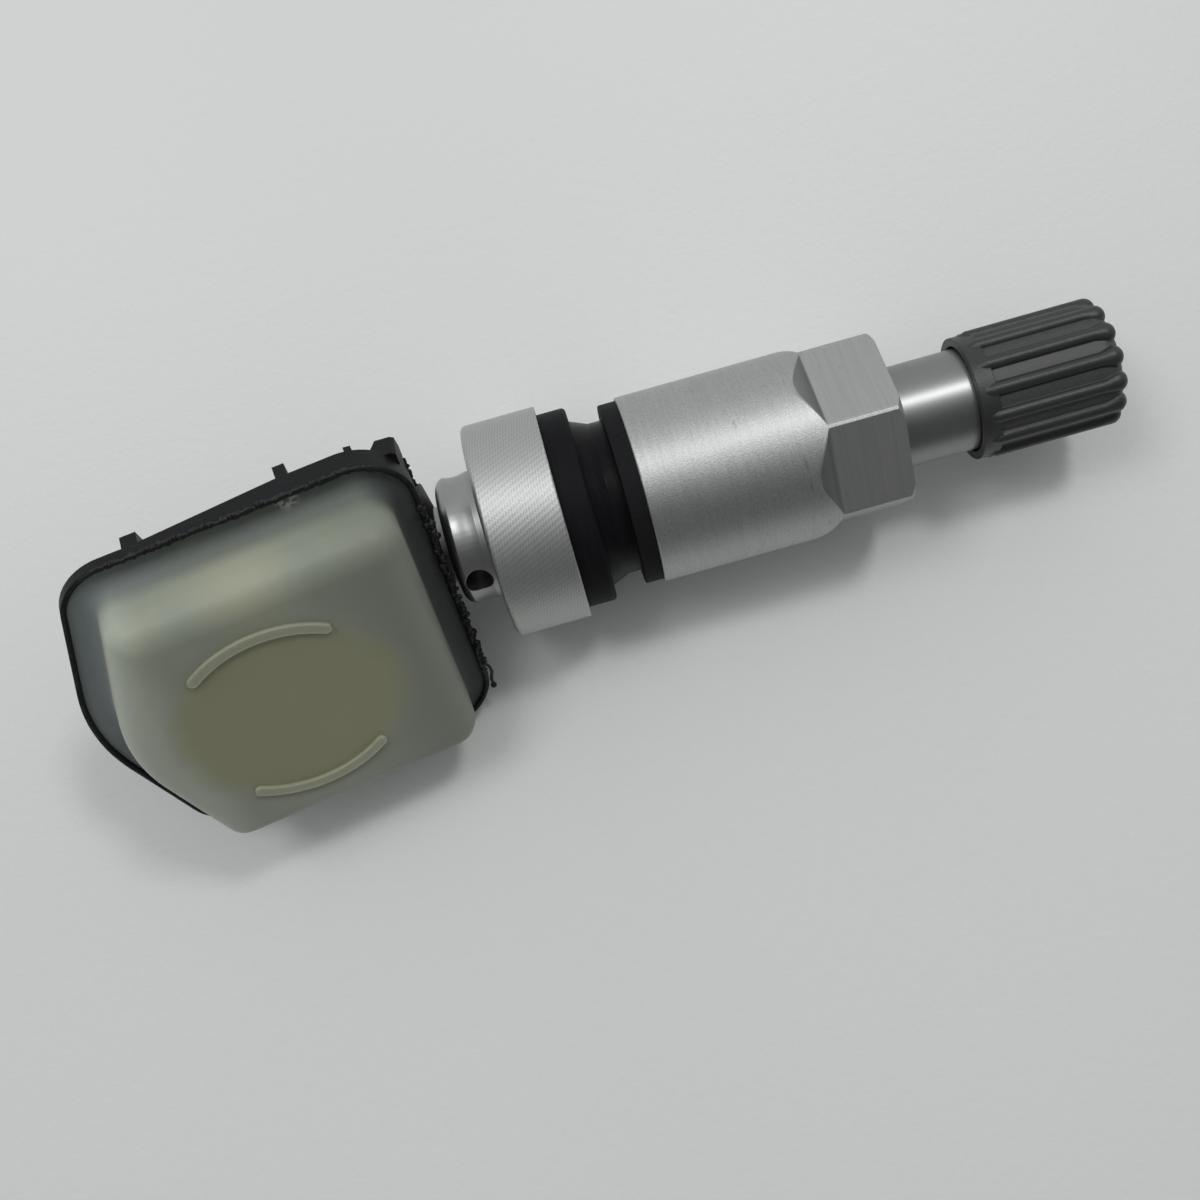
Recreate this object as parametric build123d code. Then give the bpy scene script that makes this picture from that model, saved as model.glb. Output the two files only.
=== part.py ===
from build123d import *
from math import asin, cos, radians, sin, tan
import os

# Clamp-in tyre pressure sensor: a moulded sensor housing screwed to an aluminium tyre valve.
# +X runs along the valve axis towards the cap, and +Z is up. The origin is on the valve axis, in
# the middle of the grommet's pilot, which centres the valve in the wheel's valve hole. The sensor
# lies as it comes to rest: on the stem's collar and on the lower edge of its housing.
# All sizes are in millimetres and degrees.

# Fits
PRESS_GAP = 0.02            # between pieces that are pushed or screwed together for good
THREAD_GAP = 0.06           # between a nut or cap and the thread it turns on
LOOSE_GAP = 0.1             # between a ring and the shaft it slides on
CUT = 1.0                   # how far a cutting tool overshoots the face it breaks through

# Rim grommet
PILOT_RADIUS = 5.6
PILOT_LENGTH = 1.0
NECK_ROOT_RADIUS = 6.15
NECK_CONE_LENGTH = 1.3
GROMMET_RADIUS = 7.18
GROMMET_FLANGE = 2.1
GROMMET_ROUND = 0.3

# Valve stem
COLLAR_RADIUS = 7.83
COLLAR_LENGTH = 5.5
COLLAR_ROUND = 0.4
COLLAR_FACE_ROUND = 0.12
HEAD_RADIUS = 4.7
HEAD_LENGTH = 2.95
HEAD_ROUND = 0.9
WAIST_RADIUS = 2.6          # radius of the shallow groove round the head
WAIST_DEPTH = 0.16
CROSS_HOLE_RADIUS = 1.0
CROSS_HOLE_SETBACK = 1.45   # from the collar's back to the hole's axis
SPIGOT_RADIUS = 2.8
SPIGOT_LENGTH = 0.49
TAIL_RADIUS = 2.3
TAIL_LENGTH = 3.5
SHANK_RADIUS = 4.5
SHANK_CHAMFER = 0.4
STEM_RADIUS = 3.72
STEM_SHOWING = 5.85         # bare stem between the nut and the cap
TIP_RADIUS = 3.86
TIP_CHAMFER = 0.5
TIP_THREAD_SETBACK = 1.0    # from the cap's mouth to the start of the tip's thread
PASSAGE_RADIUS = 1.2

# Washer and sleeve nut
WASHER_RADIUS = 6.65
WASHER_THICKNESS = 1.3
WASHER_ROUND = 0.12
NUT_RADIUS = 6.865
NUT_LENGTH = 18.5
NUT_ROUND = 0.15
NUT_CHAMFER = 0.35
NUT_ACROSS_FLATS = 12.0
NUT_FLATS = 6
NUT_TURN = -1.7             # how far the flats are turned from the upright position
FLAT_LENGTH = 5.3
FLAT_RUNOUT = 1.9           # length of the rounded shoulder behind each flat
NUT_MOUTH_LENGTH = 3.2
NUT_MOUTH_GAP = 0.3
SHANK_STOP_GAP = 0.6        # from the shank's end to the shoulder inside the nut

# Cap
CAP_LENGTH = 10.55
CAP_MOUTH_RADIUS = 4.5
CAP_MOUTH_LENGTH = 1.3
CAP_VALLEY_RADIUS = 4.28
CAP_RIB_TOP = 4.72
CAP_RIB_RADIUS = 0.53
CAP_RIB_FOOT = 4.35         # radius from which a rib rises at the cap's mouth
CAP_RIB_RISE = 1.1          # length over which it rises
CAP_LOBE_RADIUS = 0.8       # of each rib's wider, rounded outer end
CAP_FLARE_LENGTH = 0.9      # over which a rib widens to its lobe
CAP_RIBS = 14
CAP_TURN = -9.5
CAP_END_WALL = 1.0
CAP_END_ROUND = 1.2
CAP_SEAL_THICKNESS = 0.8

# Valve core, placed by depth below the stem's tip
CHAMBER_RADIUS = 2.6
THROAT_RADIUS = 2.1
CHAMBER_SPARE = 3.6         # free length below the core, for the pin's cup to move into
PLUG_DEPTH = 0.9
PLUG_LENGTH = 4.4
PLUG_HOLE_RADIUS = 0.8
BRIDGE_WIDTH = 1.7
BRIDGE_HEIGHT = 1.3
BARREL_RADIUS = 1.75
BARREL_LENGTH = 6.2
BARREL_BORE_RADIUS = 1.2
BARREL_LEDGE = 0.9
BARREL_LEDGE_HOLE = 0.65
CORE_SEAL_SETBACK = 0.3
CORE_SEAL_LENGTH = 1.4
PIN_RADIUS = 0.42
PIN_DEPTH = 0.5
PIN_COLLAR_RADIUS = 0.95
PIN_COLLAR_LENGTH = 0.3
PIN_COLLAR_SETBACK = 0.4    # from the top of the barrel to the pin's collar
CUP_RADIUS = 1.5
CUP_LENGTH = 1.0
CUP_SEAL_RADIUS = 1.4
CUP_SEAL_LENGTH = 0.7
SPRING_RADIUS = 0.8
SPRING_WIRE_RADIUS = 0.12
SPRING_TURNS = 6
SPRING_END_GAP = 0.02

# Fixing screw
SCREW_RADIUS = 1.5
SCREW_HEAD_RADIUS = 2.8
SCREW_HEAD_LENGTH = 1.7
SCREW_SOCKET_FLATS = 2.6
SCREW_SOCKET_DEPTH = 1.1
SCREW_END_GAP = 0.3

# Housing pose: rolled about the valve axis, and pitched out of it
ROLL = 46.7
PITCH = 9.5

# Housing outline: five-sided, square to the valve and with a shallow nose at the far end. Heights
# are measured from the valve axis, at the bracket's face, along the cover's normal.
HALF_WIDTH = 13.29
EDGE_SETBACK = 0.51         # from the bracket's face to the cover flange's straight edge
NOSE_REACH = 26.95          # from the bracket's face to the point of the nose
NOSE_ANGLE = 17.0
EDGE_CORNER = 3.9
SHOULDER_CORNER = 3.6
NOSE_CORNER = 14.0
LEAST_CORNER = 0.4

# Cover
FLANGE_TOP = 4.55
FLANGE_THICKNESS = 0.35
FORM_HEIGHT = 5.0
FORM_INSET = 1.8
FORM_EDGE_INSET = 1.55      # at the straight edge beside the valve
FORM_DRAFT = 3.0
FORM_ROUND = 2.1
FORM_BLEND = 1.0
WALL = 1.0
ARC_WIDTH = 0.75
ARC_HEIGHT = 0.28
ARC_SPAN = 73.0
ARC_GAP = 0.44              # from the cell's edge inwards to the middle of the arc ribs

# Base
LIP_WIDTH = 0.3
# The rim's depth at distances from the bracket's face: it deepens from the nose to the bracket
RIM_DEPTHS = ((0, 1.6), (8.0, 1.5), (18.0, 0.6), (NOSE_REACH + CUT, 0.6))
SEAT_INSET = 0.7            # of the thicker plate under the cover's flange
SEAT_DEPTH = 1.4
BEAD_INSET = 0.1
BEAD_HEIGHT = 0.3
BEAD_ROUND = 0.13
BODY_INSET = 3.3
BODY_DEPTH = 3.25           # of the tray below the rim
BODY_ROUND = 2.0
BASE_WALL = 1.2
FLOOR = 1.4
# Each pair's distance from the bracket's face, thickness and depth of its tip below the flange's top
GUSSETS = ((18.1, 1.05, 1.7), (7.85, 0.8, 2.65), (3.35, 0.5, 1.95))
GUSSET_ROOT_DROP = 2.9
BRACKET_THICKNESS = 2.0     # of the bracket's wall under the rim, from where it tapers to its foot
BRACKET_FOOT_THICKNESS = 0.86
BRACKET_FOOT = 0.85
BRACKET_SINK = 0.45         # how far the bracket's wall runs up into the rim
EAR_REACH = 12.25
EAR_HEIGHT = 1.75
EAR_STEP_REACH = 10.6       # where the wall's sloping ends meet its foot
EAR_BEVEL = 0.25            # of the ears' outer corners on the valve's side
TUBE_RADIUS = 4.75          # of the round tube that holds the stem's tail and the screw
TUBE_LENGTH = 7.0
TUBE_FACE_SETBACK = 0.1     # where the tube ends and its cone towards the stem begins
BOSS_RADIUS = 2.9
BOSS_HEIGHT = 0.38
WEB = 1.5                   # of the bracket, between the stem's tail and the screw's head
SCREW_HOLE_GAP = 0.15
CHANNEL_GAP = 0.3
DOME_WALL = 0.9
DOME_LENGTH = 18.0
POST_RADIUS = 0.9
POST_PIN_RADIUS = 0.5
POST_PIN_PROUD = 0.35
POST_EDGE_REACH = 6.2       # of the posts beside the valve, from the bracket's face
POST_EDGE_INSET = 1.39      # of those posts, from the tray's inner side
POST_NOSE_SETBACK = 6.75    # of the other posts, from the point of the nose
POST_NOSE_INSET = 2.59
PORT_RADIUS = 0.8

# Electronics
BOARD_INSET = 0.6           # inside the cover's cavity
BOARD_THICKNESS = 0.8
BOARD_RISE = 0.2            # of the board's underside over the cover's lower face
BOARD_HOLE_GAP = 0.05
CELL_HEIGHT = 2.0
CELL_ROOM = 2.06            # from the cell's edge to the inside of the cover's nose
CELL_CAN_INSET = 0.55
CELL_CAN_STEP = 0.45
CELL_ROUND = 0.3
CELL_HEADROOM = 0.05
TAB_THICKNESS = 0.15
TAB_WIDTH = 3.0
TAB_STANDOFF = 0.25         # from the cell's edge to the upper tab's leg
TAB_FOOT = 1.0
LOWER_TAB_START = 2.6       # from the cell's centre
LOWER_TAB_INSET = 1.4       # from the cell's edge to the tab's step
CHIP_SIZE = 5.0
CHIP_HEIGHT = 1.6
CHIP_NOSE_SETBACK = 10.75   # from the point of the nose to the chip's centre
CHIP_NOTCH = 0.5
PART_ROOM = 0.89            # between the tray's inner side and the chip and coil
PORT_SEAL_RADIUS = 1.8
COIL_LENGTH = 7.0
COIL_WIDTH = 2.6
COIL_HEIGHT = 2.2
COIL_CHEEK = 0.9
COIL_WAIST = 0.35
ANTENNA_WIRE = 0.4
ANTENNA_SPAN = 13.0
ANTENNA_HEIGHT = 2.3
ANTENNA_BEND = 1.0
ANTENNA_STANDOFF = 0.7      # from the upper tab to the loop's axis
ANTENNA_ROOM = 1.34         # from the inside of the cover to the loop's axis
CRYSTAL = (3.2, 2.5, 0.6)
CRYSTAL_PLACE = (11.0, -3.6)
CAPACITOR = (1.6, 0.8, 0.6)
CAPACITOR_PITCH = 1.7
CAPACITORS = 4
CAPACITOR_REACH = 9.6
CAPACITOR_INSET = 1.19      # from the tray's inner side to the first one

# Places along the valve axis
X_PILOT_END = PILOT_LENGTH / 2
X_PILOT = X_PILOT_END - PILOT_LENGTH
X_NECK = X_PILOT - NECK_CONE_LENGTH
X_GROMMET = X_NECK - GROMMET_FLANGE
X_COLLAR = X_GROMMET - COLLAR_LENGTH
X_CROSS_HOLE = X_COLLAR - CROSS_HOLE_SETBACK
X_HEAD = X_COLLAR - HEAD_LENGTH
X_BOSS = X_HEAD - SPIGOT_LENGTH
X_BRACKET = X_BOSS - BOSS_HEIGHT
X_TAIL = X_BOSS - TAIL_LENGTH
X_WEB = X_TAIL - WEB
X_NUT = X_PILOT_END + WASHER_THICKNESS
X_NUT_END = X_NUT + NUT_LENGTH
X_NUT_SHOULDER = X_NUT_END - NUT_MOUTH_LENGTH
X_SHANK_END = X_NUT_SHOULDER - SHANK_STOP_GAP
X_FLATS = X_NUT_END - FLAT_LENGTH
X_CAP = X_NUT_END + STEM_SHOWING
X_CAP_END = X_CAP + CAP_LENGTH
X_SEAL_END = X_CAP_END - CAP_END_WALL
X_TIP = X_SEAL_END - CAP_SEAL_THICKNESS
X_PLUG_END = X_TIP - PLUG_DEPTH
X_BARREL_END = X_PLUG_END - PLUG_LENGTH
X_BARREL = X_BARREL_END - BARREL_LENGTH
X_LEDGE = X_BARREL + BARREL_LEDGE
X_CORE_SEAL_END = X_BARREL_END - CORE_SEAL_SETBACK
X_CORE_SEAL = X_CORE_SEAL_END - CORE_SEAL_LENGTH
X_PIN_COLLAR_END = X_BARREL_END - PIN_COLLAR_SETBACK
X_PIN_COLLAR = X_PIN_COLLAR_END - PIN_COLLAR_LENGTH
X_CUP_SEAL = X_BARREL - CUP_SEAL_LENGTH
X_CUP = X_CUP_SEAL - CUP_LENGTH
X_CHAMBER = X_CUP - CHAMBER_SPARE

# Heights in the housing
FLANGE_BOTTOM = FLANGE_TOP - FLANGE_THICKNESS
RIM_BOTTOM = FLANGE_TOP - RIM_DEPTHS[0][1]
BODY_BOTTOM = RIM_BOTTOM - BODY_DEPTH
FLOOR_TOP = BODY_BOTTOM + FLOOR
FORM_TOP = FLANGE_TOP + FORM_HEIGHT
CEILING = FORM_TOP - WALL
BOARD_BOTTOM = FLANGE_BOTTOM + BOARD_RISE
BOARD_TOP = BOARD_BOTTOM + BOARD_THICKNESS
CELL_TOP = CEILING - CELL_HEADROOM - TAB_THICKNESS
CELL_BOTTOM = CELL_TOP - CELL_HEIGHT

# Distances in the housing from the bracket's face towards the nose, and from the centre line
NOSE_SLOPE = cos(radians(NOSE_ANGLE))
INNER_NOSE = NOSE_REACH - (FORM_INSET + WALL) / NOSE_SLOPE
ANTENNA_REACH = EDGE_SETBACK + FORM_EDGE_INSET + WALL + ANTENNA_ROOM
CELL_EDGE = ANTENNA_REACH + ANTENNA_STANDOFF + TAB_THICKNESS + TAB_STANDOFF
CELL_RADIUS = ((INNER_NOSE - CELL_EDGE) * NOSE_SLOPE - CELL_ROOM) / (1 + NOSE_SLOPE)
CELL_REACH = CELL_EDGE + CELL_RADIUS
LOWER_TAB_STEP = CELL_RADIUS - LOWER_TAB_INSET
TRAY_SIDE = HALF_WIDTH - BODY_INSET - BASE_WALL
POST_NOSE_REACH = NOSE_REACH - POST_NOSE_SETBACK
POSTS = (
    (POST_EDGE_REACH, TRAY_SIDE - POST_EDGE_INSET),
    (POST_NOSE_REACH, TRAY_SIDE - POST_NOSE_INSET),
)
CHIP_REACH = NOSE_REACH - CHIP_NOSE_SETBACK
CHIP_SIDE = -(TRAY_SIDE - PART_ROOM - CHIP_SIZE / 2)
COIL_REACH = (POST_EDGE_REACH + POST_NOSE_REACH) / 2
COIL_SIDE = TRAY_SIDE - PART_ROOM - COIL_WIDTH / 2
CAPACITOR_SIDE = CAPACITOR_INSET - TRAY_SIDE

# The housing's frame: X along its straight sides, towards the valve, and Z out of the cover. The
# valve axis leans out of that frame by the pitch.
HOUSING = Pos(X_BRACKET, 0, 0) * Rot(ROLL, 0, 0) * Rot(0, PITCH, 0)
VALVE_IN_HOUSING = Rot(0, -PITCH, 0)


def rod(radius, start, end):
    """A round bar on the X axis."""
    return Pos((start + end) / 2, 0, 0) * Rot(0, 90, 0) * Cylinder(radius, end - start)


def turned(*points):
    """A turned solid from an outline of (x, radius) points."""
    return revolve(make_face(Polyline(*points, close=True)), Axis.X)


def rings(part, x, radius):
    """The circular edges of a turned part at one place and radius."""
    circles = part.edges().filter_by(GeomType.CIRCLE)
    return circles.filter_by(lambda e: abs(e.center().X - x) < 1e-4 and abs(e.radius - radius) < 1e-4)


def slab(face, low, high):
    """A flat-sided solid between two heights."""
    return extrude(Pos(0, 0, low) * face, high - low)


def block(size, x, y, low):
    """A box that stands on a height."""
    return Pos(x, y, low) * Box(*size, align=(Align.CENTER, Align.CENTER, Align.MIN))


def outline(grow, edge_grow=None):
    """The housing's five-sided outline, grown by a distance all round."""
    angle = radians(NOSE_ANGLE)
    edge = (grow if edge_grow is None else edge_grow) - EDGE_SETBACK
    half = HALF_WIDTH + grow
    nose = -NOSE_REACH - grow / cos(angle)
    shoulder = nose + half * tan(angle)
    points = [(edge, -half), (edge, half), (shoulder, half), (nose, 0), (shoulder, -half)]
    corners = [EDGE_CORNER, EDGE_CORNER, SHOULDER_CORNER, NOSE_CORNER, SHOULDER_CORNER]
    rounds = [max(corner + grow, LEAST_CORNER) for corner in corners]
    return make_face(FilletPolyline(*points, radius=rounds, close=True))


def form_outline(grow):
    """The outline of the cover's raised form where it leaves the flange."""
    return outline(grow - FORM_INSET, grow - FORM_EDGE_INSET)


def place(part):
    """Moves a piece from the housing's frame to its place beside the valve."""
    return HOUSING * part


def valve_stem():
    shape = turned(
        (X_TAIL, 0),
        (X_TAIL, TAIL_RADIUS),
        (X_BOSS, TAIL_RADIUS),
        (X_BOSS, SPIGOT_RADIUS),
        (X_HEAD, SPIGOT_RADIUS),
        (X_HEAD, HEAD_RADIUS),
        (X_COLLAR, HEAD_RADIUS),
        (X_COLLAR, COLLAR_RADIUS),
        (X_GROMMET, COLLAR_RADIUS),
        (X_GROMMET, SHANK_RADIUS),
        (X_SHANK_END - SHANK_CHAMFER, SHANK_RADIUS),
        (X_SHANK_END, STEM_RADIUS),
        (X_CAP + TIP_THREAD_SETBACK, STEM_RADIUS),
        (X_CAP + TIP_THREAD_SETBACK, TIP_RADIUS),
        (X_TIP - TIP_CHAMFER, TIP_RADIUS),
        (X_TIP, TIP_RADIUS - TIP_CHAMFER),
        (X_TIP, 0),
    )
    shape = fillet(rings(shape, X_HEAD, HEAD_RADIUS), HEAD_ROUND)
    shape = fillet(rings(shape, X_COLLAR, COLLAR_RADIUS), COLLAR_ROUND)
    shape = fillet(rings(shape, X_GROMMET, COLLAR_RADIUS), COLLAR_FACE_ROUND)
    waist = Torus(HEAD_RADIUS + WAIST_RADIUS - WAIST_DEPTH, WAIST_RADIUS)
    waist &= rod(HEAD_RADIUS, X_HEAD - X_CROSS_HOLE, X_COLLAR - X_CROSS_HOLE).rotate(Axis.Y, -90)
    shape -= Pos(X_CROSS_HOLE, 0, 0) * Rot(0, 90, 0) * waist
    chamber = turned(
        (X_CHAMBER, 0),
        (X_CHAMBER, THROAT_RADIUS),
        (X_CORE_SEAL, THROAT_RADIUS),
        (X_CORE_SEAL_END, CHAMBER_RADIUS),
        (X_TIP + CUT, CHAMBER_RADIUS),
        (X_TIP + CUT, 0),
    )
    cross_hole = Rot(ROLL, 0, 0) * Cylinder(CROSS_HOLE_RADIUS, 2 * COLLAR_RADIUS)
    shape -= chamber
    shape -= rod(PASSAGE_RADIUS, X_CROSS_HOLE, X_CHAMBER + CUT)
    shape -= Pos(X_CROSS_HOLE, 0, 0) * cross_hole
    shape -= rod(SCREW_RADIUS + PRESS_GAP, X_TAIL - CUT, X_HEAD)
    return shape


def rim_grommet():
    bore = SHANK_RADIUS + PRESS_GAP
    shape = turned(
        (X_GROMMET, bore),
        (X_GROMMET, GROMMET_RADIUS),
        (X_NECK, GROMMET_RADIUS),
        (X_NECK, NECK_ROOT_RADIUS),
        (X_PILOT, PILOT_RADIUS),
        (X_PILOT_END, PILOT_RADIUS),
        (X_PILOT_END, bore),
    )
    return fillet(rings(shape, X_NECK, GROMMET_RADIUS), GROMMET_ROUND)


def nut_washer():
    shape = rod(WASHER_RADIUS, X_PILOT_END, X_NUT)
    shape -= rod(SHANK_RADIUS + LOOSE_GAP, X_PILOT_END - CUT, X_NUT + CUT)
    return fillet(rings(shape, X_PILOT_END, WASHER_RADIUS), WASHER_ROUND)


def flat_cutter():
    """Mills one flat, with a rounded shoulder that runs out on the sleeve."""
    flat = NUT_ACROSS_FLATS / 2
    drop = NUT_RADIUS - flat
    bend = (FLAT_RUNOUT**2 + drop**2) / (2 * drop)
    half_turn = asin(FLAT_RUNOUT / bend) / 2
    x_runout = X_FLATS - FLAT_RUNOUT
    middle = (x_runout + bend * sin(half_turn), NUT_RADIUS - bend + bend * cos(half_turn))
    shoulder = ThreePointArc((x_runout, NUT_RADIUS), middle, (X_FLATS, flat))
    rest = Polyline(
        (X_FLATS, flat),
        (X_NUT_END + CUT, flat),
        (X_NUT_END + CUT, NUT_RADIUS + CUT),
        (x_runout, NUT_RADIUS + CUT),
        (x_runout, NUT_RADIUS),
    )
    return extrude(make_face(shoulder + rest), NUT_RADIUS, both=True)


def sleeve_nut():
    shape = turned(
        (X_NUT, SHANK_RADIUS + THREAD_GAP),
        (X_NUT, NUT_RADIUS),
        (X_NUT_END - NUT_CHAMFER, NUT_RADIUS),
        (X_NUT_END, NUT_RADIUS - NUT_CHAMFER),
        (X_NUT_END, STEM_RADIUS + NUT_MOUTH_GAP),
        (X_NUT_SHOULDER, STEM_RADIUS + NUT_MOUTH_GAP),
        (X_NUT_SHOULDER, SHANK_RADIUS + THREAD_GAP),
    )
    shape = fillet(rings(shape, X_NUT, NUT_RADIUS), NUT_ROUND)
    for i in range(NUT_FLATS):
        shape -= Rot(NUT_TURN + i * 360 / NUT_FLATS, 0, 0) * flat_cutter()
    return shape


def cap_rib():
    """One rib of the cap, which rises from the mouth and widens to a round lobe at the cap's end."""

    def section(x, radius, top):
        return Pos(x, top - radius, 0) * Rot(0, 90, 0) * Circle(radius)

    lobe = X_CAP_END - CAP_LOBE_RADIUS
    foot = section(X_CAP, CAP_RIB_RADIUS, CAP_RIB_FOOT)
    start = section(X_CAP + CAP_RIB_RISE, CAP_RIB_RADIUS, CAP_RIB_TOP)
    flare = section(lobe - CAP_FLARE_LENGTH, CAP_RIB_RADIUS, CAP_RIB_TOP)
    end = section(lobe, CAP_LOBE_RADIUS, CAP_RIB_TOP)
    shape = loft([foot, start]) + loft([start, flare]) + loft([flare, end])
    return shape + Pos(lobe, CAP_RIB_TOP - CAP_LOBE_RADIUS, 0) * Sphere(CAP_LOBE_RADIUS)


def valve_cap():
    shape = turned(
        (X_CAP, 0),
        (X_CAP, CAP_MOUTH_RADIUS),
        (X_CAP + CAP_MOUTH_LENGTH, CAP_MOUTH_RADIUS),
        (X_CAP + CAP_MOUTH_LENGTH, CAP_VALLEY_RADIUS),
        (X_CAP_END, CAP_VALLEY_RADIUS),
        (X_CAP_END, 0),
    )
    shape = fillet(rings(shape, X_CAP_END, CAP_VALLEY_RADIUS), CAP_END_ROUND)
    rib = cap_rib()
    for i in range(CAP_RIBS):
        shape += Rot(CAP_TURN + i * 360 / CAP_RIBS, 0, 0) * rib
    return shape - rod(TIP_RADIUS + THREAD_GAP, X_CAP - CUT, X_SEAL_END)


def cap_seal():
    return rod(TIP_RADIUS, X_TIP, X_SEAL_END)


def core_plug():
    shape = rod(CHAMBER_RADIUS - PRESS_GAP, X_BARREL_END, X_PLUG_END)
    beside = CHAMBER_RADIUS
    for side in (-1, 1):
        cutter = Box(BRIDGE_HEIGHT, beside, 2 * CHAMBER_RADIUS)
        x_cutter = X_PLUG_END - BRIDGE_HEIGHT / 2
        shape -= Pos(x_cutter, side * (BRIDGE_WIDTH + beside) / 2, 0) * cutter
    return shape - rod(PLUG_HOLE_RADIUS, X_BARREL_END - CUT, X_PLUG_END + CUT)


def core_barrel():
    return turned(
        (X_BARREL, BARREL_LEDGE_HOLE),
        (X_BARREL, BARREL_RADIUS),
        (X_BARREL_END, BARREL_RADIUS),
        (X_BARREL_END, BARREL_BORE_RADIUS),
        (X_LEDGE, BARREL_BORE_RADIUS),
        (X_LEDGE, BARREL_LEDGE_HOLE),
    )


def core_seal():
    return turned(
        (X_CORE_SEAL, BARREL_RADIUS),
        (X_CORE_SEAL, THROAT_RADIUS),
        (X_CORE_SEAL_END, CHAMBER_RADIUS),
        (X_CORE_SEAL_END, BARREL_RADIUS),
    )


def core_pin():
    shape = rod(PIN_RADIUS, X_CUP, X_TIP - PIN_DEPTH)
    shape += rod(PIN_COLLAR_RADIUS, X_PIN_COLLAR, X_PIN_COLLAR_END)
    return shape + rod(CUP_RADIUS, X_CUP, X_CUP_SEAL)


def cup_seal():
    return rod(CUP_SEAL_RADIUS, X_CUP_SEAL, X_BARREL) - rod(PIN_RADIUS, X_CUP_SEAL, X_BARREL)


def core_spring():
    low = X_LEDGE + SPRING_WIRE_RADIUS + SPRING_END_GAP
    high = X_PIN_COLLAR - SPRING_WIRE_RADIUS - SPRING_END_GAP
    path = Helix((high - low) / SPRING_TURNS, high - low, SPRING_RADIUS)
    wire = sweep(Plane(path @ 0, z_dir=path % 0) * Circle(SPRING_WIRE_RADIUS), path)
    return Pos(low, 0, 0) * Rot(0, 90, 0) * wire


def fixing_screw():
    shape = rod(SCREW_RADIUS, X_WEB, X_HEAD - SCREW_END_GAP)
    shape += rod(SCREW_HEAD_RADIUS, X_WEB - SCREW_HEAD_LENGTH, X_WEB)
    socket = RegularPolygon(SCREW_SOCKET_FLATS / 2, 6, major_radius=False)
    cutter = Rot(0, 90, 0) * extrude(socket, SCREW_SOCKET_DEPTH + CUT)
    return shape - Pos(X_WEB - SCREW_HEAD_LENGTH - CUT, 0, 0) * cutter


def raised_form(grow, low):
    """The cover's raised form, or with a negative growth its hollow, from a height up."""
    top = FORM_TOP + grow
    shape = extrude(Pos(0, 0, low) * form_outline(grow), top - low, taper=FORM_DRAFT)
    return fillet(shape.edges().group_by(Axis.Z)[-1], FORM_ROUND + grow)


def cover_housing():
    shape = slab(outline(0), FLANGE_BOTTOM, FLANGE_TOP) + raised_form(0, FLANGE_TOP)
    foot = Pos(0, 0, FLANGE_TOP) * form_outline(0).wire()
    shape = fillet(shape.edges().filter_by(lambda e: foot.distance_to(e @ 0.5) < 1e-3), FORM_BLEND)
    shape -= raised_form(-WALL, FLANGE_BOTTOM)
    for middle in (90, -90):
        path = CenterArc((-CELL_REACH, 0), CELL_RADIUS - ARC_GAP, middle - ARC_SPAN / 2, ARC_SPAN)
        shape += slab(SlotArc(path, ARC_WIDTH), FORM_TOP - WALL / 2, FORM_TOP + ARC_HEIGHT)
    return place(shape)


def bracket():
    """The cross wall and tube that carry the stem, in the valve's frame with X = 0 at its face."""
    top = RIM_BOTTOM + BRACKET_SINK
    front = Polyline(
        (EAR_REACH, top),
        (EAR_REACH, EAR_HEIGHT),
        (EAR_STEP_REACH, BRACKET_FOOT),
        (-EAR_STEP_REACH, BRACKET_FOOT),
        (-EAR_REACH, EAR_HEIGHT),
        (-EAR_REACH, top),
        close=True,
    )
    side = Polyline(
        (0, top),
        (0, BRACKET_FOOT),
        (-BRACKET_FOOT_THICKNESS, BRACKET_FOOT),
        (-BRACKET_THICKNESS, top),
        close=True,
    )
    wall = extrude(Plane.YZ * make_face(front), -BRACKET_THICKNESS)
    wall = chamfer(wall.faces().sort_by(Axis.X)[-1].edges().filter_by(Axis.Z), EAR_BEVEL)
    wall &= extrude(Plane.XZ * make_face(side), EAR_REACH + CUT, both=True)
    tube = turned(
        (-TUBE_LENGTH, 0),
        (-TUBE_LENGTH, TUBE_RADIUS),
        (-TUBE_FACE_SETBACK, TUBE_RADIUS),
        (BOSS_HEIGHT, BOSS_RADIUS),
        (BOSS_HEIGHT, 0),
    )
    width = 2 * (TUBE_RADIUS + CUT)
    under_rim = block((2 * TUBE_LENGTH, width, width), 0, 0, top - width)
    return wall + (tube & under_rim)


def rim():
    """The base's rim, seen from the side deeper towards the bracket, and the plate under the flange."""
    lower_edge = [(-distance, FLANGE_TOP - depth) for distance, depth in RIM_DEPTHS]
    ends = [(-NOSE_REACH - CUT, FLANGE_TOP), (CUT, FLANGE_TOP), (CUT, RIM_BOTTOM)]
    profile = Plane.XZ * make_face(Polyline(*lower_edge, *ends, close=True))
    side = extrude(profile, HALF_WIDTH + CUT, both=True)
    plate = slab(outline(-SEAT_INSET), FLANGE_TOP - SEAT_DEPTH, FLANGE_TOP)
    return slab(outline(LIP_WIDTH), RIM_BOTTOM, FLANGE_TOP) & side, plate


def gussets():
    """The ribs under the rim, in pairs that end at the rim's edge."""
    reach = HALF_WIDTH + LIP_WIDTH
    under_flange = slab(outline(LIP_WIDTH), BODY_BOTTOM, FLANGE_BOTTOM)
    shapes = []
    for distance, thickness, depth in GUSSETS:
        side = Polyline(
            (TRAY_SIDE, FLANGE_BOTTOM),
            (reach, FLANGE_BOTTOM),
            (reach, FLANGE_TOP - depth),
            (TRAY_SIDE, RIM_BOTTOM - GUSSET_ROOT_DROP),
            close=True,
        )
        web = extrude(Plane.YZ * make_face(side), thickness / 2, both=True)
        for rib in (web, mirror(web, Plane.XZ)):
            shapes.append(Pos(-distance, 0, 0) * rib & under_flange)
    return shapes


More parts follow.
